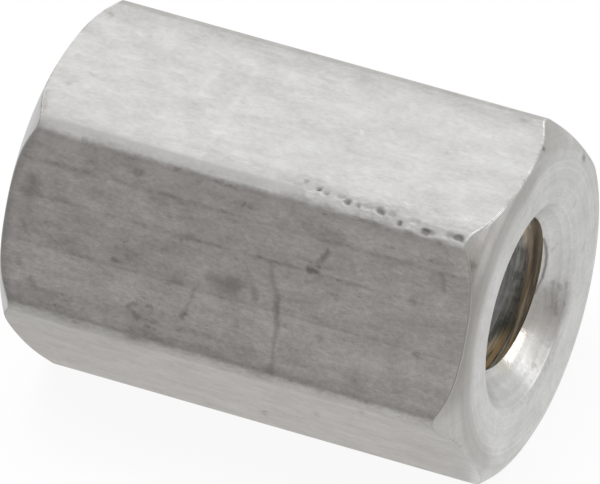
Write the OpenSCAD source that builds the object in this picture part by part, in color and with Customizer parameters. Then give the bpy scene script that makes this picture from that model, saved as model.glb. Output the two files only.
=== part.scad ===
// Hexagonal threaded standoff, one piece, lying on one of its six flats.
// Millimetres. The axis runs along X through the middle of the length,
// two flats face straight up and straight down, Z = 0 is the lower flat.

/* [Body] */
// Distance across two opposite flats.
across_flats = 6.35; // [5.5:0.05:9]
// Overall length from end face to end face.
body_length = 9.525; // [7:0.025:40]
// Radius of the rounding along the six long edges.
edge_r = 0.38; // [0.1:0.02:0.6]

/* [Ends] */
// How far inside the flats the rounding of each end starts.
land_setback = 0.235; // [0.05:0.005:0.3]
// Radius of the rounding between the flat end ring and the chamfer.
blend_r = 0.7; // [0.3:0.05:0.9]
// Slope of the end chamfer, measured down from the end face, in degrees.
chamfer_angle = 48; // [40:1:55]

/* [Hole] */
// Diameter of the threaded hole across the crests of its thread.
bore_d = 2.75; // [2.4:0.05:3.3]
// Diameter of the countersink where it meets the end face.
countersink_d = 4.09; // [3.6:0.01:4.8]
// Included angle of the countersink, in degrees.
countersink_angle = 90; // [80:1:120]

/* [Hidden] */

// Sides of the bar, the angle from one flat to the next, and half of it.
SIDES = 6;
HEX_STEP = 360 / SIDES;
HEX_HALF = HEX_STEP / 2;
// Overlap that lets a cutting form pass clean through a face.
CUT_OVER = 1;
// A rounding crosses its faces at this small angle, in degrees. One that
// runs out exactly tangent would leave slivers of face beside it.
RUNOUT = 3;

// Distance from the axis to a flat, and to a corner before it is rounded.
flat_r = across_flats / 2;
corner_r = flat_r / cos(HEX_HALF);
// Distance from the axis to the centre of the rounding of a long edge.
edge_centre_r = (flat_r - edge_r * cos(RUNOUT)) / cos(HEX_HALF);

// Half the length, and the radius of the flat ring on each end.
half_length = body_length / 2;
land_r = flat_r - land_setback;
// Centre of the rounding that leads from the ring into the chamfer.
blend_centre_r = land_r - blend_r * sin(RUNOUT);
blend_centre_z = half_length - blend_r * cos(RUNOUT);
// Where the end face and the chamfer would meet with no rounding.
chamfer_r = blend_centre_r + blend_r * cos(RUNOUT) * tan(chamfer_angle / 2);
// Radius well outside the corners, and how far the chamfer drops by there.
outer_r = corner_r + CUT_OVER;
outer_drop = (outer_r - chamfer_r) * tan(chamfer_angle);

// Radii of the hole and how deep each countersink goes.
bore_r = bore_d / 2;
countersink_r = countersink_d / 2;
countersink_depth = (countersink_r - bore_r) / tan(countersink_angle / 2);
// The countersink's cone carried on past the end face, where it is wider.
mouth_z = half_length + CUT_OVER;
mouth_r = countersink_r + CUT_OVER * tan(countersink_angle / 2);

// What a rounding of radius r takes off a convex corner, drawn about the
// centre of the rounding. The corner's two faces look along the directions
// mid - half_turn and mid + half_turn.
module rounding_waste(r, mid, half_turn) {
    reach = 2 * r;
    rotate(mid)
        difference() {
            polygon([
                [0, 0],
                reach * [cos(half_turn), -sin(half_turn)],
                [reach / cos(half_turn), 0],
                reach * [cos(half_turn), sin(half_turn)]
            ]);
            circle(r = r);
        }
}

// Drawn bar: a hexagon with its six long edges rounded, axis on Z.
module bar() {
    linear_extrude(height = body_length + 2 * CUT_OVER, center = true)
        difference() {
            circle(r = corner_r, $fn = SIDES);
            for (i = [0 : SIDES - 1])
                rotate(i * HEX_STEP)
                    translate([edge_centre_r, 0])
                        rounding_waste(edge_r, 0, HEX_HALF);
        }
}

// Outline of one end for turning: flat ring, rounding, then the chamfer.
module end_outline() {
    difference() {
        polygon([
            [0, -CUT_OVER],
            [outer_r, -CUT_OVER],
            [outer_r, half_length - outer_drop],
            [chamfer_r, half_length],
            [0, half_length]
        ]);
        translate([blend_centre_r, blend_centre_z])
            rounding_waste(blend_r, 90 - chamfer_angle / 2, chamfer_angle / 2);
    }
}

// Turned form that leaves both ends of the bar finished, axis on Z.
module turned_form() {
    rotate_extrude()
        union() {
            end_outline();
            mirror([0, 1])
                end_outline();
        }
}

// The hole right through, opened out by a countersink at each end.
module hole() {
    rotate_extrude()
        polygon([
            [0, -mouth_z],
            [mouth_r, -mouth_z],
            [bore_r, countersink_depth - half_length],
            [bore_r, half_length - countersink_depth],
            [mouth_r, mouth_z],
            [0, mouth_z]
        ]);
}

// The whole standoff, turned from Z to X with a flat underneath.
module standoff() {
    color("silver")
        translate([0, 0, flat_r])
            rotate([0, 90, 0])
                rotate(HEX_HALF)
                    difference() {
                        intersection() {
                            bar();
                            turned_form();
                        }
                        hole();
                    }
}

standoff();
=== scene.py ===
from math import cos, hypot, pi, radians, sin, tan

import bpy
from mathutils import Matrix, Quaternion, Vector


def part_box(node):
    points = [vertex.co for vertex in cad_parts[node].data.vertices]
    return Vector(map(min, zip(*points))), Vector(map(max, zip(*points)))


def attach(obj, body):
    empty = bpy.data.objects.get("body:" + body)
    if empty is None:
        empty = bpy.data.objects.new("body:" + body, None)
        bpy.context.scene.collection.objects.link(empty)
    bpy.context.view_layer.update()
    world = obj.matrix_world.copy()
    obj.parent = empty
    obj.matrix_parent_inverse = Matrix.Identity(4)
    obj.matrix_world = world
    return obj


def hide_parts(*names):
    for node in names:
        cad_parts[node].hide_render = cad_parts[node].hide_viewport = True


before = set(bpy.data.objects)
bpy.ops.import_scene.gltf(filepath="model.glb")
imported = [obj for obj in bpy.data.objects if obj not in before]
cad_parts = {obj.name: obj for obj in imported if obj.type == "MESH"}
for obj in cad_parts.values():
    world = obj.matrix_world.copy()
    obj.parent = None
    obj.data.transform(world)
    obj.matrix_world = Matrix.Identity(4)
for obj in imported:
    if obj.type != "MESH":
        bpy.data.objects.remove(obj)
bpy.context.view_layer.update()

# ---------------------------------------------------------------------------
# The bar. One length of drawn aluminium hexagon bar, with its six long edges
# slightly rounded by the drawing die. It is shaped in millimetres, and comes
# down to metres when all its cuts are made.
# ---------------------------------------------------------------------------
MM = 0.001
low, high = (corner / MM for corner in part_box("standoff"))
middle = (low + high) / 2
half_length = (high.x - low.x) / 2
flat_r = (high.z - low.z) / 2
corner_r = flat_r / cos(radians(30))
edge_r = 0.38
edge_reach = edge_r * tan(radians(30))
edge_y = flat_r * tan(radians(30)) - edge_reach
edge_z = flat_r - edge_r
hair = 1e-4


def off_axis(point):
    """How far a point is from the bar's own axis."""
    return hypot(point.y - middle.y, point.z - middle.z)


def pick(kind, test):
    """Opens the active piece for editing, with only what passes the test selected."""
    bpy.ops.object.mode_set(mode="EDIT")
    bpy.ops.mesh.select_mode(type=kind)
    bpy.ops.mesh.select_all(action="DESELECT")
    bpy.ops.object.mode_set(mode="OBJECT")
    mesh = bpy.context.object.data
    if kind == "FACE":
        for face in mesh.polygons:
            face.select = test(face)
    elif kind == "EDGE":
        for edge in mesh.edges:
            edge.select = test(*(mesh.vertices[i].co for i in edge.vertices))
    else:
        for vertex in mesh.vertices:
            vertex.select = test(vertex.co)
    bpy.ops.object.mode_set(mode="EDIT")


bpy.ops.object.select_all(action="DESELECT")
bpy.ops.mesh.primitive_cylinder_add(
    vertices=6,
    radius=corner_r,
    depth=2 * half_length,
    end_fill_type="NOTHING",
    location=middle,
    rotation=(0, pi / 2, 0),
)
standoff = bpy.context.object
standoff.name = standoff.data.name = "hex_standoff"
bpy.ops.object.transform_apply(location=True, rotation=True, scale=True)

pick("EDGE", lambda a, b: abs(a.x - b.x) > half_length)
bpy.ops.mesh.bevel(offset=edge_reach, segments=8)
bpy.ops.object.mode_set(mode="OBJECT")
pick("EDGE", lambda a, b: abs(a.x - b.x) < hair and (a - b).length > flat_r / 2)
bpy.ops.mesh.subdivide(number_cuts=23)
bpy.ops.object.mode_set(mode="OBJECT")

# The finish of the flats: a dull drawn surface with a soft mottle. The flat that lay outwards in the bin
# has picked up lengthwise lines, small pits and thin scratches. Places and sizes in the finishes are in
# millimetres from the bar's centre, and tone goes from 0, dark and rough, to 1, clean and smooth.
CLEANEST_METAL = (0.93, 0.93, 0.92)
LIGHT_METAL = (0.80, 0.80, 0.785)
DARK_METAL = (0.54, 0.535, 0.515)
DULLEST_METAL = (0.41, 0.40, 0.38)
STAIN_AND_PAINTED_SHADE = (0.17, 0.155, 0.14)
FAR_ARC_PAINTED_SHADE = (0.25, 0.27, 0.29)


def add_node(tree, kind, inputs=None, **settings):
    """Adds a shader node; an input is given a number, a colour, or the socket that feeds it."""
    node = tree.nodes.new("ShaderNode" + kind)
    for name, value in settings.items():
        setattr(node, name, value)
    for name, value in (inputs or {}).items():
        if isinstance(value, bpy.types.NodeSocket):
            tree.links.new(value, node.inputs[name])
        else:
            node.inputs[name].default_value = value
    return node


def maths(tree, operation, *values, clamp=False):
    """One step of arithmetic on numbers and sockets."""
    step = add_node(tree, "Math", dict(enumerate(values)), operation=operation, use_clamp=clamp)
    return step.outputs[0]


def total(tree, *terms):
    """Adds up numbers, sockets, and (socket, share) pairs."""
    result = None
    for term in terms:
        if isinstance(term, tuple):
            term = maths(tree, "MULTIPLY", *term)
        result = term if result is None else maths(tree, "ADD", result, term)
    return result


def product(tree, first, *others):
    """Multiplies numbers and sockets, from left to right."""
    for other in others:
        first = maths(tree, "MULTIPLY", first, other)
    return first


def vector_maths(tree, operation, *values):
    """One step of arithmetic on vectors, which gives a vector or a number."""
    step = add_node(tree, "VectorMath", dict(enumerate(values)), operation=operation)
    return step.outputs["Value" if operation in {"DOT_PRODUCT", "LENGTH", "DISTANCE"} else "Vector"]


def scaled(tree, vector, size):
    """Makes a vector longer or shorter."""
    return add_node(tree, "VectorMath", {0: vector, "Scale": size}, operation="SCALE").outputs[0]


def along(tree, vector, direction):
    """How far a vector reaches in a direction."""
    return vector_maths(tree, "DOT_PRODUCT", vector, direction)


def part_of(tree, vector, axis):
    """The X, Y or Z of a vector."""
    return add_node(tree, "SeparateXYZ", {0: vector}).outputs[axis]


def crosswise(tree, vector):
    """The length of a vector when its part along the bar is left out."""
    return vector_maths(tree, "LENGTH", vector_maths(tree, "MULTIPLY", vector, (0, 1, 1)))


def ramp(tree, value, start, stop, at_start=0.0, at_stop=1.0, smooth=True):
    """Goes from one value to another between two limits, and stays level outside them."""
    step = add_node(
        tree,
        "MapRange",
        {"Value": value, "From Min": start, "From Max": stop, "To Min": at_start, "To Max": at_stop},
        interpolation_type="SMOOTHSTEP" if smooth else "LINEAR",
    )
    return step.outputs[0]


def blend(tree, amount, first, second):
    """Mixes two colours, each a plain colour or a socket."""
    step = add_node(tree, "Mix", data_type="RGBA")
    for socket, value in ((0, amount), (6, first), (7, second)):
        if isinstance(value, bpy.types.NodeSocket):
            tree.links.new(value, step.inputs[socket])
        else:
            step.inputs[socket].default_value = (*value, 1) if socket else value
    return step.outputs[2]


def new_group(name, inputs, outputs):
    """Starts a shader node group, and returns it with its input and output sockets."""
    group = bpy.data.node_groups.new(name, "ShaderNodeTree")
    for in_out, sockets in (("INPUT", inputs), ("OUTPUT", outputs)):
        for label, kind in sockets.items():
            group.interface.new_socket(name=label, in_out=in_out, socket_type="NodeSocket" + kind)
    return group, group.nodes.new("NodeGroupInput").outputs, group.nodes.new("NodeGroupOutput").inputs


def use_group(tree, group, **inputs):
    """Places a node group, with a number, a place or a socket for each of its inputs."""
    node = tree.nodes.new("ShaderNodeGroup")
    node.node_tree = group
    for name, value in inputs.items():
        if isinstance(value, bpy.types.NodeSocket):
            tree.links.new(value, node.inputs[name])
        else:
            node.inputs[name].default_value = value
    return node


def noise(tree, vector, scale, detail=3.0, roughness=0.6):
    return add_node(
        tree, "TexNoise", {"Vector": vector, "Scale": scale, "Detail": detail, "Roughness": roughness}
    ).outputs[0]


# Mottle: soft patches, a fine grain, and streaks drawn out along the bar, each above and below nought.
mottle, given, result = new_group(
    "mottle",
    {"Position": "Vector"},
    {"Patches": "Float", "Grain": "Float", "Streaks": "Float", "Pits": "Float"},
)
longer = vector_maths(mottle, "MULTIPLY", given["Position"], (0.60, 1.0, 1.0))
drawn_out = vector_maths(mottle, "MULTIPLY", given["Position"], (0.15, 1.0, 1.0))
for label, value in (
    ("Patches", noise(mottle, longer, 2.3, 4.0, 0.62)),
    ("Grain", noise(mottle, longer, 15.0, 2.0, 0.6)),
    ("Streaks", noise(mottle, drawn_out, 6.0, 3.0, 0.65)),
):
    mottle.links.new(maths(mottle, "SUBTRACT", value, 0.5), result[label])
pits = ramp(mottle, noise(mottle, longer, 4.2, 3.0, 0.75), 0.60, 0.74)
mottle.links.new(pits, result["Pits"])

# Ragged: the same place moved a little this way and that, so that a mark laid there has a ragged edge.
ragged, given, result = new_group("ragged", {"Position": "Vector"}, {"Position": "Vector"})
moved = given["Position"]
for scale, sway in ((2.2, 0.20), (9.0, 0.10)):
    swirl = add_node(ragged, "TexNoise", {"Vector": given["Position"], "Scale": scale, "Detail": 2.0})
    offset = vector_maths(ragged, "SUBTRACT", swirl.outputs["Color"], (0.5, 0.5, 0.5))
    moved = vector_maths(ragged, "ADD", moved, scaled(ragged, offset, sway))
ragged.links.new(moved, result["Position"])

# Scratch: a line from one place to another, one along its middle and nothing past its width.
scratch, given, result = new_group(
    "scratch",
    {"Position": "Vector", "Start": "Vector", "End": "Vector", "Width": "Float"},
    {"Mask": "Float"},
)
whole = vector_maths(scratch, "SUBTRACT", given["End"], given["Start"])
so_far = vector_maths(scratch, "SUBTRACT", given["Position"], given["Start"])
share = maths(scratch, "DIVIDE", along(scratch, so_far, whole), along(scratch, whole, whole), clamp=True)
aside = vector_maths(scratch, "DISTANCE", so_far, scaled(scratch, whole, share))
aside = maths(scratch, "DIVIDE", aside, given["Width"])
scratch.links.new(ramp(scratch, aside, 0.0, 1.0, 1.0, 0.0), result["Mask"])


def on_flat(turn, along_bar, across):
    """A place on a flat, by the turn of its normal from +Y, in millimetres from the bar's centre."""
    up, side = radians(turn), radians(turn + 90)
    return Vector((
        along_bar,
        flat_r * cos(up) + across * cos(side),
        flat_r * sin(up) + across * sin(side),
    ))


def marks(tree, position, lines):
    """The strongest of several scratches, each given as start, end, width and strength."""
    strongest = None
    for start, end, width, strength in lines:
        mask = use_group(tree, scratch, Position=position, Start=start, End=end, Width=width).outputs[0]
        mask = product(tree, mask, strength)
        strongest = mask if strongest is None else maths(tree, "MAXIMUM", strongest, mask)
    return strongest


def new_metal(name):
    """Starts a bare metal; returns its material, nodes, shader, and places in millimetres from the centre."""
    material = bpy.data.materials.new(name)
    material.use_nodes = True
    tree = material.node_tree
    shader = tree.nodes["Principled BSDF"]
    shader.inputs["Metallic"].default_value = 1
    place = add_node(tree, "TexCoord").outputs["Object"]
    position = scaled(tree, vector_maths(tree, "SUBTRACT", place, tuple(middle * MM)), 1 / MM)
    return material, tree, shader, position


def set_surface(tree, shader, colour, roughness, height):
    """Feeds a shader its colour, its roughness, and a relief in millimetres."""
    tree.links.new(colour, shader.inputs["Base Color"])
    tree.links.new(roughness, shader.inputs["Roughness"])
    relief = add_node(tree, "Bump", {"Height": height, "Distance": MM, "Strength": 1.0})
    tree.links.new(relief.outputs[0], shader.inputs["Normal"])


# The flats that carry marks, by the turn of their normals from +Y.
TOP, FRONT, UNDER = 90, 150, 210
DOWN_FRONT = (0, -0.5, -0.866)
OVER_KNOCKED_EDGE = (0, -0.5, 0.866)
drawn, tree, shader, position = new_metal("drawn_aluminium")
surface = use_group(tree, mottle, Position=position).outputs
ragged_position = use_group(tree, ragged, Position=position).outputs[0]
out_of_front = on_flat(FRONT, 0, 0).normalized()
handled = ramp(tree, along(tree, position, out_of_front), flat_r - 0.12, flat_r - 0.02)

# First the long crooked scratch, in three lengths, and then the specks, pits and short nicks.
dark_marks = marks(tree, ragged_position, [
    (on_flat(FRONT, 0.63, -0.42), on_flat(FRONT, 0.91, 0.21), 0.09, 0.24),
    (on_flat(FRONT, 0.91, 0.21), on_flat(FRONT, 1.01, 0.70), 0.11, 0.44),
    (on_flat(FRONT, 1.01, 0.70), on_flat(FRONT, 1.05, 1.66), 0.10, 0.28),
    (on_flat(FRONT, -0.70, 0.42), on_flat(FRONT, -0.85, 1.00), 0.08, 0.26),
    (on_flat(FRONT, -0.86, 1.02), on_flat(FRONT, -0.89, 1.08), 0.10, 0.60),
    (on_flat(FRONT, 1.43, -0.45), on_flat(FRONT, 1.57, -0.45), 0.11, 0.70),
    (on_flat(FRONT, 1.60, -0.60), on_flat(FRONT, 1.72, -0.93), 0.10, 0.50),
    (on_flat(FRONT, -2.44, 0.38), on_flat(FRONT, -2.40, 0.38), 0.10, 0.50),
    (on_flat(FRONT, -2.24, -1.36), on_flat(FRONT, -2.16, -1.38), 0.11, 0.45),
    (on_flat(FRONT, -1.96, 1.16), on_flat(FRONT, -1.80, 1.12), 0.10, 0.40),
    (on_flat(FRONT, -1.56, 1.07), on_flat(FRONT, -1.50, 1.05), 0.09, 0.42),
    (on_flat(FRONT, 3.78, 0.55), on_flat(FRONT, 3.92, 0.62), 0.08, 0.35),
    (on_flat(FRONT, 4.05, -1.04), on_flat(FRONT, 4.12, -0.78), 0.11, 0.35),
    (on_flat(FRONT, -4.30, -0.62), on_flat(FRONT, -4.26, -0.50), 0.32, 0.42),
    (on_flat(FRONT, -0.40, 0.20), on_flat(FRONT, 0.05, 0.24), 0.22, 0.32),
    (on_flat(FRONT, 0.45, 0.24), on_flat(FRONT, 0.50, 0.34), 0.14, 0.34),
    (on_flat(FRONT, 1.25, -1.27), on_flat(FRONT, 1.95, -1.22), 0.16, 0.22),
    (on_flat(FRONT, -1.86, -0.98), on_flat(FRONT, -1.55, -0.92), 0.11, 0.20),
    (on_flat(FRONT, -1.49, -0.72), on_flat(FRONT, -1.45, -0.70), 0.08, 0.28),
    (on_flat(FRONT, -4.33, 0.10), on_flat(FRONT, -4.18, 0.36), 0.08, 0.24),
    (on_flat(FRONT, -4.00, 1.17), on_flat(FRONT, -3.90, 1.30), 0.11, 0.30),
    (on_flat(FRONT, -1.98, 1.20), on_flat(FRONT, -1.74, 1.33), 0.09, 0.24),
    (on_flat(FRONT, 0.18, 0.88), on_flat(FRONT, 0.20, 0.95), 0.11, 0.26),
    (on_flat(FRONT, 1.84, 0.68), on_flat(FRONT, 1.90, 0.74), 0.13, 0.24),
    (on_flat(FRONT, 1.15, 0.66), on_flat(FRONT, 1.18, 0.68), 0.09, 0.32),
    (on_flat(FRONT, 2.75, 1.68), on_flat(FRONT, 3.02, 1.70), 0.07, 0.30),
    (on_flat(FRONT, 3.55, -0.44), on_flat(FRONT, 3.62, -0.40), 0.11, 0.28),
    (on_flat(TOP, -4.37, -1.33), on_flat(TOP, -4.34, -1.30), 0.10, 0.34),
    (on_flat(TOP, -4.05, 0.30), on_flat(TOP, -3.92, 0.34), 0.08, 0.20),
    (on_flat(TOP, -4.31, 0.68), on_flat(TOP, -4.28, 0.71), 0.10, 0.26),
    (on_flat(TOP, -4.56, 1.02), on_flat(TOP, -4.42, 1.58), 0.10, 0.30),
    (on_flat(TOP, 4.00, -1.54), on_flat(TOP, 4.06, -1.53), 0.10, 0.26),
    (on_flat(UNDER, 2.89, -1.56), on_flat(UNDER, 2.85, -1.44), 0.12, 0.30),
    (on_flat(UNDER, 1.63, -0.42), on_flat(UNDER, 1.58, -0.20), 0.13, 0.30),
    (on_flat(UNDER, 0.30, 0.62), on_flat(UNDER, 0.20, 0.90), 0.11, 0.30),
])
light_marks = marks(tree, ragged_position, [
    (on_flat(TOP, -1.88, -0.84), on_flat(TOP, -1.86, 0.00), 0.12, 0.22),
    (on_flat(TOP, -1.16, -0.84), on_flat(TOP, -1.13, 1.80), 0.14, 0.25),
    (on_flat(TOP, -3.65, -1.08), on_flat(TOP, -3.60, -1.05), 0.08, 0.60),
    (on_flat(TOP, 1.34, -0.14), on_flat(TOP, 1.38, -0.08), 0.08, 0.60),
])

# The lines that the drawing die and the bin left along the bar, the wavy ones broken here and there.
straight_lines = marks(tree, position, [
    (on_flat(FRONT, -4.5, -1.65), on_flat(FRONT, 4.5, -1.65), 0.11, 0.9),
    (on_flat(FRONT, -4.5, -1.10), on_flat(FRONT, 4.5, -1.10), 0.08, 0.95),
    (on_flat(FRONT, -4.5, -0.43), on_flat(FRONT, 4.5, -0.43), 0.06, 0.6),
    (on_flat(FRONT, -4.5, 0.49), on_flat(FRONT, 4.5, 0.49), 0.05, 0.3),
])
wavy_lines = marks(tree, ragged_position, [
    (on_flat(FRONT, -1.4, -0.40), on_flat(FRONT, -0.4, -0.42), 0.07, 0.9),
    (on_flat(FRONT, 1.43, -0.22), on_flat(FRONT, 1.74, -0.28), 0.08, 0.9),
    (on_flat(FRONT, 1.74, -0.28), on_flat(FRONT, 2.02, -0.42), 0.08, 0.9),
    (on_flat(FRONT, 2.02, -0.42), on_flat(FRONT, 3.12, -0.41), 0.09, 1.3),
    (on_flat(FRONT, -4.5, 1.33), on_flat(FRONT, 4.5, 1.33), 0.08, 0.6),
    (on_flat(FRONT, -4.5, 1.62), on_flat(FRONT, 4.5, 1.62), 0.17, 0.7),
])
broken = ramp(tree, noise(tree, position, 1.8, 4.0, 0.75), 0.38, 0.62)

# One long edge has been knocked: its dents are darker the deeper they go, and the burrs beside them are
# rubbed smooth and painted lighter, a painted highlight. Both go by how far the metal lies below the edge's
# own rounding.
from_edge = vector_maths(tree, "SUBTRACT", position, (0, -edge_y, edge_z))
for over_flat in ((0, 1, 0), (0, -sin(radians(30)), -cos(radians(30)))):
    beside = maths(tree, "MAXIMUM", along(tree, from_edge, over_flat), 0)
    from_edge = vector_maths(tree, "SUBTRACT", from_edge, scaled(tree, over_flat, beside))
sunk = maths(tree, "SUBTRACT", edge_r, crosswise(tree, from_edge))
along_x = part_of(tree, position, "X")
knocked = product(
    tree,
    ramp(tree, along(tree, position, OVER_KNOCKED_EDGE), 3.28, 3.42),
    ramp(tree, along_x, 0.5, 0.8),
)
dent_darkening = product(tree, knocked, ramp(tree, sunk, 0.0, 0.042))
burr_rubbed_and_highlit = product(tree, knocked, ramp(tree, sunk, -0.003, -0.010))

# The rounding above the flat that lay outwards is burnished, so its mottle and its relief are fainter.
forward = along(tree, position, (0, -1, 0))
upward = along(tree, position, (0, 0, 1))
burnished = product(
    tree,
    ramp(tree, forward, 1.52, 1.84),
    ramp(tree, forward, 2.00, 2.15, 1, 0),
    ramp(tree, upward, 2.75, 2.85),
)
deviation = total(tree, (surface["Patches"], 0.95), (surface["Grain"], 0.65), (surface["Streaks"], 0.45))
contrast = total(tree, 1.0, (handled, 1.5), (knocked, 0.4), (burnished, -0.9))
tone = total(tree, 0.52, (deviation, contrast), (light_marks, 0.55), (burr_rubbed_and_highlit, 0.35))
tone = total(
    tree,
    tone,
    (product(tree, straight_lines, total(tree, 0.5, (broken, 0.5))), -0.6),
    (product(tree, wavy_lines, total(tree, 0.3, (broken, 0.7))), -0.6),
)

# The top flat is darker beside its knocked edge, most of all towards the right, and along its back edge.
worn = product(
    tree,
    ramp(tree, forward, 1.25, 1.60),
    ramp(tree, forward, 1.58, 1.74, 1, 0),
    ramp(tree, along_x, -0.6, 0.8, 0.28, 1.0),
    ramp(tree, upward, 2.9, 3.1),
)
back_edge = product(tree, ramp(tree, forward, -1.05, -1.65), ramp(tree, upward, 2.8, 3.0))

# The flat that lay outwards is paler below a line that runs the length of it, and duller above that line.
band_line = (0.49, 0.55)
downward = along(tree, position, DOWN_FRONT)
paler = product(tree, ramp(tree, downward, *band_line), ramp(tree, downward, 1.05, 1.40, 1, 0))
duller = product(tree, ramp(tree, downward, -0.10, 0.20), ramp(tree, downward, *band_line, 1, 0))
bands = product(tree, handled, total(tree, (paler, 0.25), (duller, -0.12)))
cleaner = product(tree, handled, ramp(tree, along_x, -1.0, 4.5))
pitted = product(tree, surface["Pits"], total(tree, 0.16, (handled, 0.42)))
tone = total(tree, tone, (worn, -0.40), (back_edge, -0.30), (cleaner, 0.30), bands, (pitted, -1.0))
colour = blend(tree, ramp(tree, tone, -0.5, 1.5, smooth=False), DULLEST_METAL, CLEANEST_METAL)

# Painted shade: the flat that lay outwards is painted a little darker beside the far arc, where the turned
# end falls away.
land_r = 2.94
turned_away = total(tree, crosswise(tree, position), -land_r)
from_arc = total(tree, along_x, half_length, (maths(tree, "POWER", turned_away, 2.0), -0.78))
far_arc_painted_shade = product(tree, handled, ramp(tree, from_arc, 0.24, 0.03, 0.0, 0.34))
colour = blend(tree, far_arc_painted_shade, colour, FAR_ARC_PAINTED_SHADE)
dark_marks_and_dents = maths(tree, "MAXIMUM", dark_marks, product(tree, dent_darkening, 0.72))
colour = blend(tree, dark_marks_and_dents, colour, STAIN_AND_PAINTED_SHADE)

relief = total(
    tree,
    (surface["Patches"], 0.008),
    (surface["Grain"], 0.0012),
    (surface["Streaks"], 0.0012),
    (surface["Pits"], -0.002),
)
relief = product(tree, relief, total(tree, 1.0, (burnished, -0.7)))
roughness = ramp(tree, tone, 0.0, 1.0, 0.38, 0.25, smooth=False)
set_surface(tree, shader, colour, roughness, relief)
standoff.data.materials.append(drawn)

# ---------------------------------------------------------------------------
# The turned ends. Each end is faced square in the lathe, then the corners are
# turned off: a short blend runs out of the flat end into a 48 degree chamfer,
# which leaves an arc across each flat. A 90 degree countersink opens the hole.
# ---------------------------------------------------------------------------
blend_r = 0.70
blend_steps = 24
chamfer_turn = radians(48)
chamfer_length = 0.6
countersink_r = 2.045
core_r = 1.10


def draw(name, points):
    """Draws a line through points given as (along, outward) from the middle of the bar."""
    bpy.ops.object.select_all(action="DESELECT")
    bpy.ops.mesh.primitive_plane_add(size=1, location=middle)
    line = bpy.context.object
    line.name = name
    bpy.ops.object.mode_set(mode="EDIT")
    bpy.ops.mesh.select_mode(type="VERT")
    bpy.ops.mesh.select_all(action="SELECT")
    bpy.ops.mesh.merge(type="CENTER")
    bpy.ops.transform.translate(value=(points[0][0], 0, points[0][1]))
    for (x0, r0), (x1, r1) in zip(points, points[1:]):
        bpy.ops.mesh.extrude_vertices_move(TRANSFORM_OT_translate={"value": (x1 - x0, 0, r1 - r0)})
    bpy.ops.object.mode_set(mode="OBJECT")
    return line


def apply(piece, kind, **settings):
    """Adds one modifier to a piece and applies it."""
    bpy.ops.object.select_all(action="DESELECT")
    piece.select_set(True)
    bpy.context.view_layer.objects.active = piece
    modifier = piece.modifiers.new(kind.title(), kind)
    for name, value in settings.items():
        setattr(modifier, name, value)
    bpy.ops.object.modifier_apply(modifier=modifier.name)


turned_line = [(half_length, land_r - 0.2)]
for step in range(blend_steps + 1):
    turn = chamfer_turn * step / blend_steps
    turned_line.append((half_length - blend_r * (1 - cos(turn)), land_r + blend_r * sin(turn)))
chamfer_x, chamfer_r = turned_line[-1]
turned_line.append((
    chamfer_x - chamfer_length * sin(chamfer_turn),
    chamfer_r + chamfer_length * cos(chamfer_turn),
))


def near_plane(*points):
    """Whether all of the points lie in the plane of the end being made."""
    return max(abs(point.x - end.x) for point in points) < hair


def spoke(a, b):
    """Whether an edge runs outwards from the land, over the corners that are turned off."""
    inner, outer = sorted((off_axis(a), off_axis(b)))
    return near_plane(a, b) and inner > land_r - hair and outer - inner > 0.1


for side in (-1, 1):
    end = middle + Vector((side * half_length, 0, 0))
    turned_form = draw("turned_form", [(side * x, r) for x, r in turned_line])
    pick("VERT", lambda point: True)
    bpy.ops.mesh.spin(steps=384, angle=2 * pi, center=middle, axis=(1, 0, 0))
    bpy.ops.mesh.select_all(action="SELECT")
    bpy.ops.mesh.remove_doubles(threshold=hair)
    bpy.ops.object.mode_set(mode="OBJECT")

    bpy.ops.object.select_all(action="DESELECT")
    standoff.select_set(True)
    bpy.context.view_layer.objects.active = standoff
    pick("VERT", near_plane)
    bpy.ops.mesh.extrude_edges_move()
    bpy.ops.transform.tosphere(value=1)
    bpy.ops.object.mode_set(mode="OBJECT")
    ring_r = max(off_axis(vertex.co) for vertex in standoff.data.vertices if vertex.select)
    bpy.ops.object.mode_set(mode="EDIT")
    for radius, depth in ((land_r, 0), (countersink_r, 0), (core_r, countersink_r - core_r)):
        if radius != land_r:
            bpy.ops.mesh.extrude_edges_move()
        size = radius / ring_r
        bpy.ops.transform.resize(value=(1, size, size), center_override=end)
        bpy.ops.transform.translate(value=(-side * depth, 0, 0))
        ring_r = radius
    bpy.ops.mesh.edge_face_add()
    bpy.ops.object.mode_set(mode="OBJECT")

    pick("EDGE", spoke)
    bpy.ops.mesh.subdivide(number_cuts=9)
    bpy.ops.object.mode_set(mode="OBJECT")
    pick("VERT", lambda point: near_plane(point) and off_axis(point) > land_r + hair)
    bpy.ops.object.mode_set(mode="OBJECT")
    turned_group = standoff.vertex_groups.new(name="turned")
    turned_group.add([vertex.index for vertex in standoff.data.vertices if vertex.select], 1, "REPLACE")
    apply(
        standoff,
        "SHRINKWRAP",
        target=turned_form,
        wrap_method="PROJECT",
        use_project_x=True,
        use_project_y=False,
        use_project_z=False,
        use_negative_direction=True,
        use_positive_direction=True,
        vertex_group="turned",
    )
    standoff.vertex_groups.clear()
    bpy.data.objects.remove(turned_form)

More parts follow.
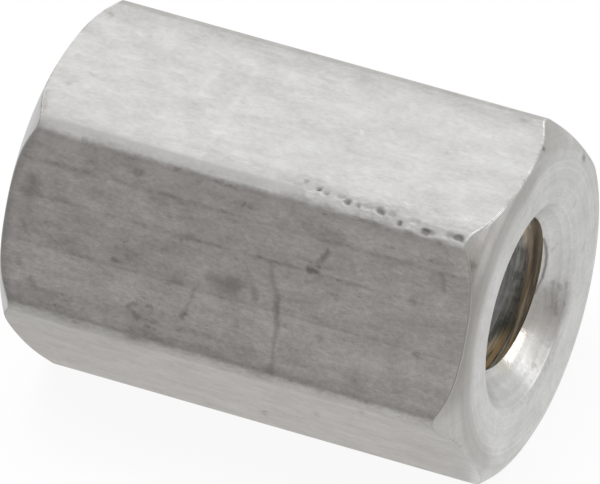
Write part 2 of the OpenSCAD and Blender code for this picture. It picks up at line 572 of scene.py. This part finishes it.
# The finish of the ends: rings left by the tool, a grey painted shade on the right rim, a painted sheen on
# the upper side of the left chamfer, and a countersink burnished bright round its throat.
throat_r = 1.60
RIM_PAINTED_SHADE = (0.335, 0.315, 0.285)
PAINTED_SHEEN_METAL = (0.90, 0.91, 0.92)
THROAT_METAL = (0.73, 0.70, 0.63)
OVER_RIM = (0, 0.36, 0.93)
UNDER_MOUTH = (0, 0.14, -0.99)
turned, tree, shader, position = new_metal("turned_aluminium")
surface = use_group(tree, mottle, Position=position).outputs
ragged_position = use_group(tree, ragged, Position=position).outputs[0]
radius = crosswise(tree, position)
uneven = total(tree, radius, (noise(tree, position, 1.2, 2.0), 0.05))
rings = add_node(
    tree, "TexNoise", {"W": uneven, "Scale": 9.0, "Detail": 4.0, "Roughness": 0.7}, noise_dimensions="1D"
)
rings = maths(tree, "SUBTRACT", rings.outputs[0], 0.5)


def on_end(turn, radius):
    """A place on the right end, by its turn from +Y and its distance from the axis."""
    past_land = max(0, radius - land_r)
    drop = blend_r - (blend_r**2 - past_land**2) ** 0.5 + max(0, countersink_r - radius)
    return Vector((half_length - drop, radius * cos(radians(turn)), radius * sin(radians(turn))))


dark_marks = marks(tree, ragged_position, [
    (on_end(72.5, 3.34), on_end(71.5, 3.28), 0.11, 0.85),
    (on_end(33.5, 3.05), on_end(32.0, 3.03), 0.11, 0.65),
    (on_end(-78.5, 1.89), on_end(-80.5, 1.86), 0.07, 0.35),
    (on_end(0.0, 1.78), on_end(-6.0, 1.69), 0.06, 0.30),
    (on_end(127.0, 3.48), on_end(126.0, 3.40), 0.11, 0.50),
    (on_end(-33.0, 1.79), on_end(-43.0, 1.84), 0.30, 0.25),
    (on_end(-33.0, 1.98), on_end(-44.0, 2.08), 0.26, 0.20),
    (on_end(-33.0, 1.68), on_end(-45.0, 1.73), 0.10, 0.28),
    (on_end(-27.0, 1.78), on_end(-43.0, 1.82), 0.11, 0.40),
    (on_end(-29.0, 1.87), on_end(-46.0, 1.89), 0.11, 0.45),
    (on_end(-28.0, 1.96), on_end(-40.0, 1.99), 0.09, 0.36),
    (on_end(23.5, 2.26), on_end(23.0, 2.20), 0.10, 0.26),
    (on_end(-11.0, 2.38), on_end(-13.0, 2.34), 0.12, 0.24),
    # Painted shade: these three lengths darken the land along the lower rim of the countersink.
    (on_end(-34.0, 2.14), on_end(-56.0, 2.16), 0.09, 0.16),
    (on_end(-56.0, 2.16), on_end(-78.0, 2.16), 0.09, 0.22),
    (on_end(-78.0, 2.16), on_end(-100.0, 2.14), 0.09, 0.16),
    (on_end(-172.0, 3.40), on_end(-162.0, 3.25), 0.07, 0.30),
    (on_end(-162.0, 3.25), on_end(-150.0, 3.20), 0.07, 0.35),
    (on_end(-150.0, 3.20), on_end(-137.0, 3.29), 0.07, 0.40),
])
# Painted shade: a dark line along the cone where the thread's groove runs out onto it.
groove_edge_painted_shade = marks(tree, position, [
    (on_end(8.0, 1.59), on_end(0.0, 1.615), 0.055, 0.7),
    (on_end(0.0, 1.615), on_end(-8.0, 1.625), 0.055, 0.8),
    (on_end(-8.0, 1.625), on_end(-16.0, 1.615), 0.055, 0.8),
    (on_end(-16.0, 1.615), on_end(-24.0, 1.59), 0.055, 0.8),
    (on_end(-24.0, 1.59), on_end(-36.0, 1.52), 0.050, 0.6),
])
dark_marks = maths(tree, "MAXIMUM", dark_marks, groove_edge_painted_shade)

# Painted shade lies on the right chamfer, strongest towards the front, and weaker over the top of the rim.
along_x = part_of(tree, position, "X")
right_half = ramp(tree, along_x, 0.0, 1.0)
facing_front = maths(tree, "DIVIDE", along(tree, position, (0, -0.866, 0.5)), radius)
facing_up = maths(tree, "DIVIDE", along(tree, position, OVER_RIM), radius)
facing_down = maths(tree, "DIVIDE", along(tree, position, UNDER_MOUTH), radius)
reached = total(tree, radius, ramp(tree, facing_front, 0.0, 0.5, 0.0, 0.40))
strongest_rim_shade = (ramp(tree, facing_front, 0.84, 1.0), 0.22)
rim_shade_strength = total(tree, ramp(tree, facing_front, 0.2, 0.5, 0.40, 0.56), strongest_rim_shade)
rim_side = product(tree, ramp(tree, radius, 3.05, 3.20), ramp(tree, facing_front, 0.87, 0.97, 1, 0))
rim_painted_shade = product(
    tree,
    ramp(tree, reached, 2.90, 3.32),
    right_half,
    rim_shade_strength,
    total(tree, 1.0, (rim_side, -0.5)),
)
upper_rim = product(
    tree,
    right_half,
    ramp(tree, radius, 3.00, 3.22),
    ramp(tree, facing_up, 0.88, 1.0, 0, 0.50),
)
rim_painted_shade = maths(tree, "MAXIMUM", rim_painted_shade, upper_rim)

# Painted sheen: the chamfer of the left end is painted lighter on its upper side.
left_chamfer_painted_sheen = product(
    tree,
    ramp(tree, radius, 3.00, 3.20),
    ramp(tree, along_x, -0.5, 0.5, 1, 0),
    ramp(tree, along(tree, position, (0, 0, 1)), 0.0, 1.6),
)
throat = product(
    tree,
    ramp(tree, radius, throat_r - 0.05, throat_r + 0.04, 1, 0),
    ramp(tree, facing_down, 0.86, 0.94),
)
deviation = total(tree, (surface["Patches"], 1.0), (surface["Grain"], 0.6), (rings, 0.8))
tone = total(tree, 0.50, deviation, (surface["Pits"], -0.22))
colour = blend(tree, maths(tree, "ADD", tone, 0, clamp=True), DARK_METAL, LIGHT_METAL)
colour = blend(tree, rim_painted_shade, colour, RIM_PAINTED_SHADE)
colour = blend(tree, product(tree, left_chamfer_painted_sheen, 0.75), colour, PAINTED_SHEEN_METAL)
colour = blend(tree, product(tree, throat, 0.7), colour, THROAT_METAL)
# The dark marks are specks, scratches and a smudge, with painted shade along the groove's run-out and the
# countersink's lower rim.
colour = blend(tree, dark_marks, colour, STAIN_AND_PAINTED_SHADE)
relief = total(
    tree, (surface["Patches"], 0.007), (surface["Grain"], 0.0015), (rings, 0.003), (dark_marks, -0.008)
)
roughness = total(tree, ramp(tree, tone, 0.0, 1.0, 0.38, 0.26, smooth=False), (throat, -0.15))
set_surface(tree, shader, colour, roughness, relief)

# The arcs across the flats are rubbed smooth; the upper one is painted bright, a painted highlight, and the
# rest darker, a painted shade.
ARC_PAINTED_SHADE = (0.56, 0.555, 0.535)
ARC_PAINTED_HIGHLIGHT = (0.95, 0.95, 0.94)
arc_painted_light, tree, shader, position = new_metal("rubbed_arc_with_painted_light")
surface = use_group(tree, mottle, Position=position).outputs
upper = ramp(tree, part_of(tree, position, "Z"), 3.08, 3.16)
tone = total(tree, 0.45, (surface["Patches"], 4.0), (surface["Grain"], 1.4), (upper, 0.2))
colour = blend(tree, maths(tree, "MULTIPLY", tone, upper, clamp=True), ARC_PAINTED_SHADE, ARC_PAINTED_HIGHLIGHT)
roughness = ramp(tree, tone, 0.0, 1.0, 0.38, 0.24, smooth=False)
relief = total(tree, (surface["Patches"], 0.01), (surface["Grain"], 0.002))
set_surface(tree, shader, colour, roughness, relief)
for material in (turned, arc_painted_light):
    standoff.data.materials.append(material)
for face in standoff.data.polygons:
    face.material_index = 1 if abs(face.normal.x) > 0.3 else 0

# Tumbling takes the sharpness off the rims of the countersinks and off the arcs across the flats.
rim_softness = 0.07
arc_softness = 0.04


def on_mouth(point):
    """Whether a point lies on the rim of a countersink."""
    return abs(off_axis(point) - countersink_r) + abs(abs(point.x) - half_length) < hair


pick("EDGE", lambda a, b: on_mouth(a) and on_mouth(b))
bpy.ops.mesh.bevel(offset=rim_softness, segments=5)
bpy.ops.object.mode_set(mode="OBJECT")
apply(
    standoff,
    "BEVEL",
    width=arc_softness,
    segments=3,
    limit_method="ANGLE",
    angle_limit=radians(25),
    material=standoff.data.materials.find(arc_painted_light.name),
)

# ---------------------------------------------------------------------------
# Knocks. Against the other parts in the bin the bar has picked up a row of
# small dents along one edge, with low burrs beside them; the dents are darker inside.
# ---------------------------------------------------------------------------
# The knocked stretch, from the bar's centre: along the bar, forwards, and upwards.
zone_start, zone_end = 0.70, 4.29
zone_back, zone_front = 1.15, 2.20
zone_floor = 2.0
zone_margin = 0.1


def round_edge(place, across):
    """A place on the knocked edge, by its way over the surface from the middle of the top flat,
    and the direction that points out of the metal there."""
    turn = max(0, across - edge_y) / edge_r
    outwards = Vector((0, -sin(turn), cos(turn)))
    return middle + Vector((place, -min(across, edge_y), edge_z)) + outwards * edge_r, outwards


def in_zone(point, margin=0.0):
    """Whether a point lies in the knocked stretch, or within a margin of its long sides."""
    return (
        zone_start - hair < point.x - middle.x < zone_end + hair
        and zone_back - margin < middle.y - point.y < zone_front + margin
        and point.z > middle.z + zone_floor
    )


# That stretch is cut out of the long faces, and divided finely enough to take the dents.
for plane_x in (zone_start, zone_end):
    pick("FACE", lambda face: zone_back < middle.y - face.center.y < zone_front
         and face.center.z > middle.z + zone_floor and face.material_index == 0)
    bpy.ops.mesh.bisect(plane_co=middle + Vector((plane_x, 0, 0)), plane_no=(1, 0, 0))
    bpy.ops.object.mode_set(mode="OBJECT")
pick("EDGE", lambda a, b: in_zone(a, zone_margin) and in_zone(b, zone_margin)
     and abs(a.x - b.x) > zone_end - zone_start - 0.01)
bpy.ops.mesh.subdivide(number_cuts=119)
bpy.ops.object.mode_set(mode="OBJECT")
pick("EDGE", lambda a, b: in_zone(a, zone_margin) and in_zone(b, zone_margin)
     and abs(a.x - b.x) < hair and (a - b).length > 0.03)
bpy.ops.mesh.subdivide(number_cuts=3)
bpy.ops.object.mode_set(mode="OBJECT")

# First the dents, then the burrs, which are sunk by less than nothing.
for place, across, half_long, half_wide, sink in (
    (0.94, 1.48, 0.02, 0.02, 0.026),
    (1.27, 1.59, 0.03, 0.02, 0.040),
    (1.43, 1.64, 0.03, 0.02, 0.020),
    (1.72, 1.62, 0.06, 0.02, 0.018),
    (1.90, 1.69, 0.03, 0.02, 0.038),
    (2.11, 1.71, 0.02, 0.02, 0.024),
    (2.32, 1.67, 0.10, 0.02, 0.014),
    (2.52, 1.67, 0.04, 0.02, 0.030),
    (2.61, 1.71, 0.03, 0.02, 0.030),
    (2.80, 1.69, 0.07, 0.02, 0.016),
    (3.01, 1.82, 0.02, 0.02, 0.034),
    (3.27, 1.70, 0.08, 0.02, 0.012),
    (3.54, 1.85, 0.06, 0.02, 0.038),
    (3.67, 1.83, 0.03, 0.02, 0.018),
    (4.02, 1.78, 0.06, 0.02, 0.018),
    (4.20, 1.79, 0.07, 0.02, 0.040),
    (1.12, 1.78, 0.06, 0.04, -0.010),
    (1.62, 1.82, 0.08, 0.04, -0.010),
    (2.30, 1.86, 0.10, 0.05, -0.012),
    (2.56, 1.86, 0.08, 0.05, -0.012),
    (3.24, 1.86, 0.08, 0.04, -0.010),
    (3.86, 1.88, 0.08, 0.04, -0.010),
):
    spot, outwards = round_edge(place, across)
    sideways = outwards.cross(Vector((1, 0, 0)))
    pick("VERT", lambda point: abs((point - spot).dot(outwards)) < 0.1
         and hypot((point.x - spot.x) / half_long, (point - spot).dot(sideways) / half_wide) < 1)
    bpy.ops.transform.translate(
        value=outwards * -sink,
        use_proportional_edit=True,
        proportional_edit_falloff="SMOOTH",
        proportional_size=0.08,
        use_proportional_connected=True,
    )
    bpy.ops.object.mode_set(mode="OBJECT")

# The metal between the dents is left very slightly uneven.
pick("VERT", lambda point: in_zone(point) and zone_start + 0.1 < point.x - middle.x < zone_end - 0.05
     and 1.45 < middle.y - point.y < 2.0)
bpy.ops.transform.vertex_random(offset=0.002, uniform=0.5, seed=7)
bpy.ops.object.mode_set(mode="OBJECT")

# ---------------------------------------------------------------------------
# The thread. A number 6-32 thread is tapped right through, and runs out on the
# two countersinks. It is cut here by a tap that has the thread's own outline.
# ---------------------------------------------------------------------------
pitch = 0.79375
minor_r = 1.375
major_r = 1.7525
flank = (major_r - minor_r) * tan(radians(30))
root = pitch / 8
crest = pitch - root - 2 * flank
thread_start = -0.161

# The finish of the thread: torn along its turns. The first turn inside the right mouth is brown, with a
# painted golden highlight low in it and a painted cream highlight along its lip; further in, the flank of
# each turn that faces the mouth is painted in shade, and the other flank is painted lit.
DEEP_BROWN = (0.39, 0.345, 0.295)
PALE_BROWN = (0.83, 0.745, 0.62)
DEEP_GREY = (0.15, 0.155, 0.14)
MIDDLE_GREY = (0.42, 0.42, 0.40)
PALE_GREY = (0.74, 0.75, 0.75)
WHITE_METAL = (0.96, 0.96, 0.96)
GOLD_PAINTED_HIGHLIGHT = (0.95, 0.79, 0.54)
LIP_PAINTED_HIGHLIGHT = (0.96, 0.82, 0.62)
UNDER_THREAD = (0, -0.34, -0.94)
lip_x = 4.03
tapped, tree, shader, position = new_metal("tapped_thread")
torn = add_node(
    tree,
    "TexNoise",
    {
        "Vector": vector_maths(tree, "MULTIPLY", position, (5.0, 0.55, 0.55)),
        "W": product(tree, crosswise(tree, position), 7.0),
        "Scale": 1.3,
        "Detail": 3.0,
        "Roughness": 0.6,
    },
    noise_dimensions="4D",
).outputs[0]
along_x = part_of(tree, position, "X")
face_x = part_of(tree, add_node(tree, "TexCoord").outputs["Normal"], "X")
facing_mouth = product(tree, face_x, maths(tree, "SIGN", along_x))
brown = blend(tree, ramp(tree, torn, 0.36, 0.62), DEEP_BROWN, PALE_BROWN)
blotched = ramp(tree, total(tree, (torn, 0.5), (noise(tree, position, 2.4, 4.0, 0.75), 0.5)), 0.40, 0.58)
# Painted light and shade: the flank that faces the mouth takes the dark greys, the other flank the pale ones.
shaded_flank = blend(tree, blotched, DEEP_GREY, MIDDLE_GREY)
lit_flank = blend(tree, blotched, PALE_GREY, WHITE_METAL)
inside = blend(tree, ramp(tree, facing_mouth, -0.1, 0.5), lit_flank, shaded_flank)
mouth = ramp(tree, total(tree, along_x, (noise(tree, position, 3.0, 3.0), 0.1)), lip_x - 0.06, lip_x)
colour = blend(tree, mouth, inside, brown)
below = along(tree, position, UNDER_THREAD)
# Painted highlight: gold low in the first turn, beside the glint on the countersink.
gold_painted_highlight = product(
    tree,
    ramp(tree, below, 1.05, 1.40),
    ramp(tree, torn, 0.36, 0.52),
    ramp(tree, along_x, 3.70, 3.85),
)
colour = blend(tree, gold_painted_highlight, colour, GOLD_PAINTED_HIGHLIGHT)
# Painted highlight: a cream line along the lip where the thread runs out.
beside_lip = maths(tree, "ABSOLUTE", total(tree, along_x, (torn, 0.06), -lip_x))
lip_painted_highlight = product(tree, ramp(tree, beside_lip, 0.035, 0.010), ramp(tree, below, -0.6, 1.3, 0.30, 0.90))
colour = blend(tree, lip_painted_highlight, colour, LIP_PAINTED_HIGHLIGHT)
roughness = ramp(tree, torn, 0.3, 0.7, 0.68, 0.48)
set_surface(tree, shader, colour, roughness, total(tree, (torn, 0.02)))

# The tap: one turn of the thread's outline, screwed along to beyond both ends of the bar and capped.
tap_end = -half_length - 2 * pitch + thread_start
tap = draw("tap", [
    (tap_end, minor_r),
    (tap_end + crest, minor_r),
    (tap_end + crest + flank, major_r),
    (tap_end + crest + flank + root, major_r),
    (tap_end + pitch, minor_r),
])
tap.data.materials.append(tapped)
apply(
    tap,
    "SCREW",
    axis="X",
    angle=2 * pi,
    screw_offset=pitch,
    iterations=int(2 * half_length / pitch) + 5,
    steps=96,
    render_steps=96,
    use_merge_vertices=True,
    merge_threshold=hair,
)
bpy.ops.object.transform_apply(location=True, rotation=True, scale=True)
pick("VERT", lambda point: True)
bpy.ops.mesh.remove_doubles(threshold=hair)
bpy.ops.mesh.select_all(action="DESELECT")
bpy.ops.mesh.select_non_manifold()
bpy.ops.mesh.fill()
bpy.ops.mesh.select_all(action="SELECT")
bpy.ops.mesh.normals_make_consistent(inside=False)
bpy.ops.object.mode_set(mode="OBJECT")
apply(standoff, "BOOLEAN", object=tap, operation="DIFFERENCE", solver="EXACT", material_mode="TRANSFER")
bpy.data.objects.remove(tap)

# All cuts are made. Points that they left close together are joined, points with only two edges are
# dissolved into the line that they lie on, and the piece comes down to metres.
pick("VERT", lambda point: True)
bpy.ops.mesh.remove_doubles(threshold=0.001)
bpy.ops.mesh.select_all(action="DESELECT")
bpy.ops.object.mode_set(mode="OBJECT")
edges_at = [0] * len(standoff.data.vertices)
for edge in standoff.data.edges:
    for corner in edge.vertices:
        edges_at[corner] += 1
for vertex in standoff.data.vertices:
    vertex.select = edges_at[vertex.index] == 2
bpy.ops.object.mode_set(mode="EDIT")
bpy.ops.mesh.dissolve_verts()
bpy.ops.mesh.select_all(action="SELECT")
bpy.ops.mesh.normals_make_consistent(inside=False)
bpy.ops.transform.resize(value=(MM, MM, MM), center_override=(0, 0, 0))
bpy.ops.object.mode_set(mode="OBJECT")
bpy.ops.object.transform_apply(location=True, rotation=True, scale=True)
bpy.ops.object.shade_smooth_by_angle(angle=radians(30))
apply(standoff, "WEIGHTED_NORMAL", mode="FACE_AREA", weight=50, keep_sharp=True)

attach(standoff, "root")
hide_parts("standoff")

# ---------------------------------------------------------------------------
# The table: a sheet of plain white paper. The camera sees it white, with the
# soft shadow of the standoff; in the metal it is mirrored a little darker, and
# falls off towards the unlit front of the room.
# ---------------------------------------------------------------------------
bpy.ops.object.select_all(action="DESELECT")
air_gap = 0.00002
bpy.ops.mesh.primitive_plane_add(size=4, location=(0, 0, -air_gap))
table = bpy.context.object
table.name = table.data.name = "table"

WHITE = (1.0, 1.0, 1.0)
LAMP_WARM = (1.0, 0.975, 0.945)
paper = bpy.data.materials.new("white_paper")
paper.use_nodes = True
paper.cycles.emission_sampling = "NONE"
tree = paper.node_tree
shader = tree.nodes["Principled BSDF"]
shader.inputs["Base Color"].default_value = (0.90, 0.90, 0.90, 1)
shader.inputs["Roughness"].default_value = 0.9
shader.inputs["Specular IOR Level"].default_value = 0.1
rays = add_node(tree, "LightPath").outputs
seen = maths(tree, "MAXIMUM", rays["Is Camera Ray"], rays["Is Transmission Ray"])

# What the metal mirrors of the paper, by the place on the paper in metres: less in front of the standoff,
# where the light falls off, and more beside it and behind it.
on_paper = add_node(tree, "NewGeometry").outputs["Position"]
paper_x = part_of(tree, on_paper, "X")
to_front = along(tree, on_paper, (-0.35, -0.94, 0))
away = vector_maths(tree, "LENGTH", on_paper)
in_front = ramp(tree, to_front, 0.003, 0.016, 0.60, 0.27, smooth=False)
behind = ramp(tree, to_front, -0.004, -0.014, 0.0, 0.82)
near = ramp(tree, away, 0.004, 0.014, 0.84, 0.68, smooth=False)
leftwards = maths(tree, "DIVIDE", paper_x, product(tree, away, -1.0))
past_left = product(tree, ramp(tree, leftwards, 0.60, 0.80), ramp(tree, paper_x, -0.005, -0.007))
past_right = ramp(tree, paper_x, 0.0036, 0.0044)
at_sides = maths(tree, "MAXIMUM", past_right, past_left)
mirrored = maths(tree, "MAXIMUM", product(tree, at_sides, near), behind)
mirrored = maths(tree, "MAXIMUM", in_front, mirrored)
glow = add_node(
    tree,
    "Emission",
    {
        "Color": blend(tree, maths(tree, "MAXIMUM", seen, at_sides), LAMP_WARM, WHITE),
        "Strength": maths(tree, "MAXIMUM", seen, mirrored),
    },
)
glowing = maths(tree, "MAXIMUM", product(tree, seen, 0.91), rays["Is Glossy Ray"])
mixed = add_node(tree, "MixShader", {0: glowing, 1: shader.outputs[0], 2: glow.outputs[0]})
tree.links.new(mixed.outputs[0], tree.nodes["Material Output"].inputs["Surface"])
table.data.materials.append(paper)

# ---------------------------------------------------------------------------
# The room: pale walls and ceiling, lightest overhead and at the back, and an
# unlit front. Low down its light is a little warm. The camera sees it white.
# ---------------------------------------------------------------------------
scene = bpy.context.scene
scene.view_settings.view_transform = "Standard"
room = bpy.data.worlds.new("room")
scene.world = room
room.use_nodes = True
WALL_WARM = (1.0, 0.94, 0.91)
tree = room.node_tree
looking = add_node(tree, "TexCoord").outputs["Generated"]
up = part_of(tree, looking, "Z")
walls = ramp(tree, up, 0.0, 1.0, 0.37, 0.74, smooth=False)
back = ramp(tree, up, 0.0, 0.5, 0.80, 0.62, smooth=False)
to_back = ramp(tree, along(tree, looking, (0.2, 0.98, 0)), 0.1, 0.8)
not_back = maths(tree, "SUBTRACT", 1, to_back)
light = total(tree, (walls, not_back), (back, to_back))
to_front = along(tree, looking, (-0.338, -0.941, 0.0))
unlit = product(tree, ramp(tree, to_front, 0.45, 0.75), ramp(tree, up, 0.40, 0.78, 1, 0))
light = product(tree, light, total(tree, 1.0, (unlit, -0.22)))
seen = add_node(tree, "LightPath").outputs["Is Camera Ray"]
warm = product(tree, not_back, ramp(tree, up, 0.30, 0.70, 1, 0), maths(tree, "SUBTRACT", 1, seen))
background = tree.nodes["Background"]
tree.links.new(maths(tree, "MAXIMUM", seen, light), background.inputs["Strength"])
tree.links.new(blend(tree, warm, WHITE, WALL_WARM), background.inputs["Color"])

# ---------------------------------------------------------------------------
# Lamps: one broad soft box over the back of the table, a narrow one that
# catches the countersink, and a fill that lights the paper alone.
# ---------------------------------------------------------------------------
centre = middle * MM


def softbox(name, direction, distance, width, power, height=None, tilt=0.0):
    """A soft box that faces the standoff from a direction, square unless it is given a height."""
    direction = Vector(direction).normalized()
    light = bpy.data.lights.new(name, "AREA")
    light.shape = "RECTANGLE"
    light.size = width
    light.size_y = height or width
    light.energy = power
    lamp = bpy.data.objects.new(name, light)
    lamp.location = centre + direction * distance
    lamp.rotation_mode = "QUATERNION"
    lamp.rotation_quaternion = direction.to_track_quat("Z", "Y") @ Quaternion((0, 0, 1), tilt)
    scene.collection.objects.link(lamp)
    return lamp


softbox("key", (-0.10, 0.69, 0.68), 0.40, 0.36, 0.17)
softbox("strip", (0.83, 0.43, 0.36), 0.35, 0.23, 0.054, height=0.05, tilt=radians(-15))
fill = softbox("fill", (-0.2, 0.1, 1.0), 0.50, 0.30, 1.3)
fill.visible_glossy = False

# ---------------------------------------------------------------------------
# The camera: a very long lens that looks down on the front and the right end
# of the standoff, and is tipped a few degrees.
# ---------------------------------------------------------------------------
turn, rise, roll = radians(27.106), radians(43.085), radians(-3.482)
camera_distance = 0.334
toward = Vector((sin(turn) * cos(rise), -cos(turn) * cos(rise), sin(rise)))
lens = bpy.data.cameras.new("camera")
lens.sensor_width = 36
lens.lens = 1068.6
lens.clip_start = 0.01
lens.clip_end = 10
camera = bpy.data.objects.new("camera", lens)
camera.location = centre + toward * camera_distance
camera.rotation_mode = "QUATERNION"
camera.rotation_quaternion = toward.to_track_quat("Z", "Y") @ Quaternion((0, 0, 1), roll)
scene.collection.objects.link(camera)
scene.camera = camera
